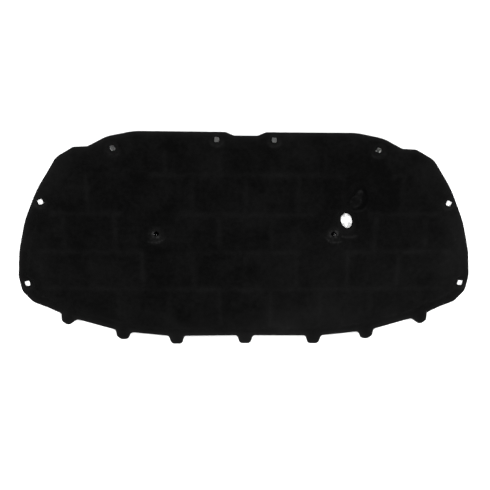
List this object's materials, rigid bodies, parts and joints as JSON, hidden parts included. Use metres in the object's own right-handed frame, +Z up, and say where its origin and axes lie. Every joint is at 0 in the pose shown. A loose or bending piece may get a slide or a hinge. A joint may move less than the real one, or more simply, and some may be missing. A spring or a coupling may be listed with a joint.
{
  "type": "hood insulation pad",
  "caption": "Wide black moulded fibre pad that lines the underside of a hood, with a thin flange, rear tabs, pressed brick channels, clip seats and an oval opening.",
  "frame": {"origin": "under the middle of the pad's overall box, on the floor it lies on", "axes": "+X across the vehicle along the pad's length, +Y to the edge with the latch notch (the vehicle's front), +Z up out of the pressed face that looks at the engine"},
  "size_m": [1.3778, 0.654, 0.033],
  "materials": {
    "black_fibre_facing": "matt black needled fibre facing over a soft fibre core"
  },
  "bodies": {
    "root": {"hood_insulation_pad": "black_fibre_facing"}
  },
  "joints": []
}
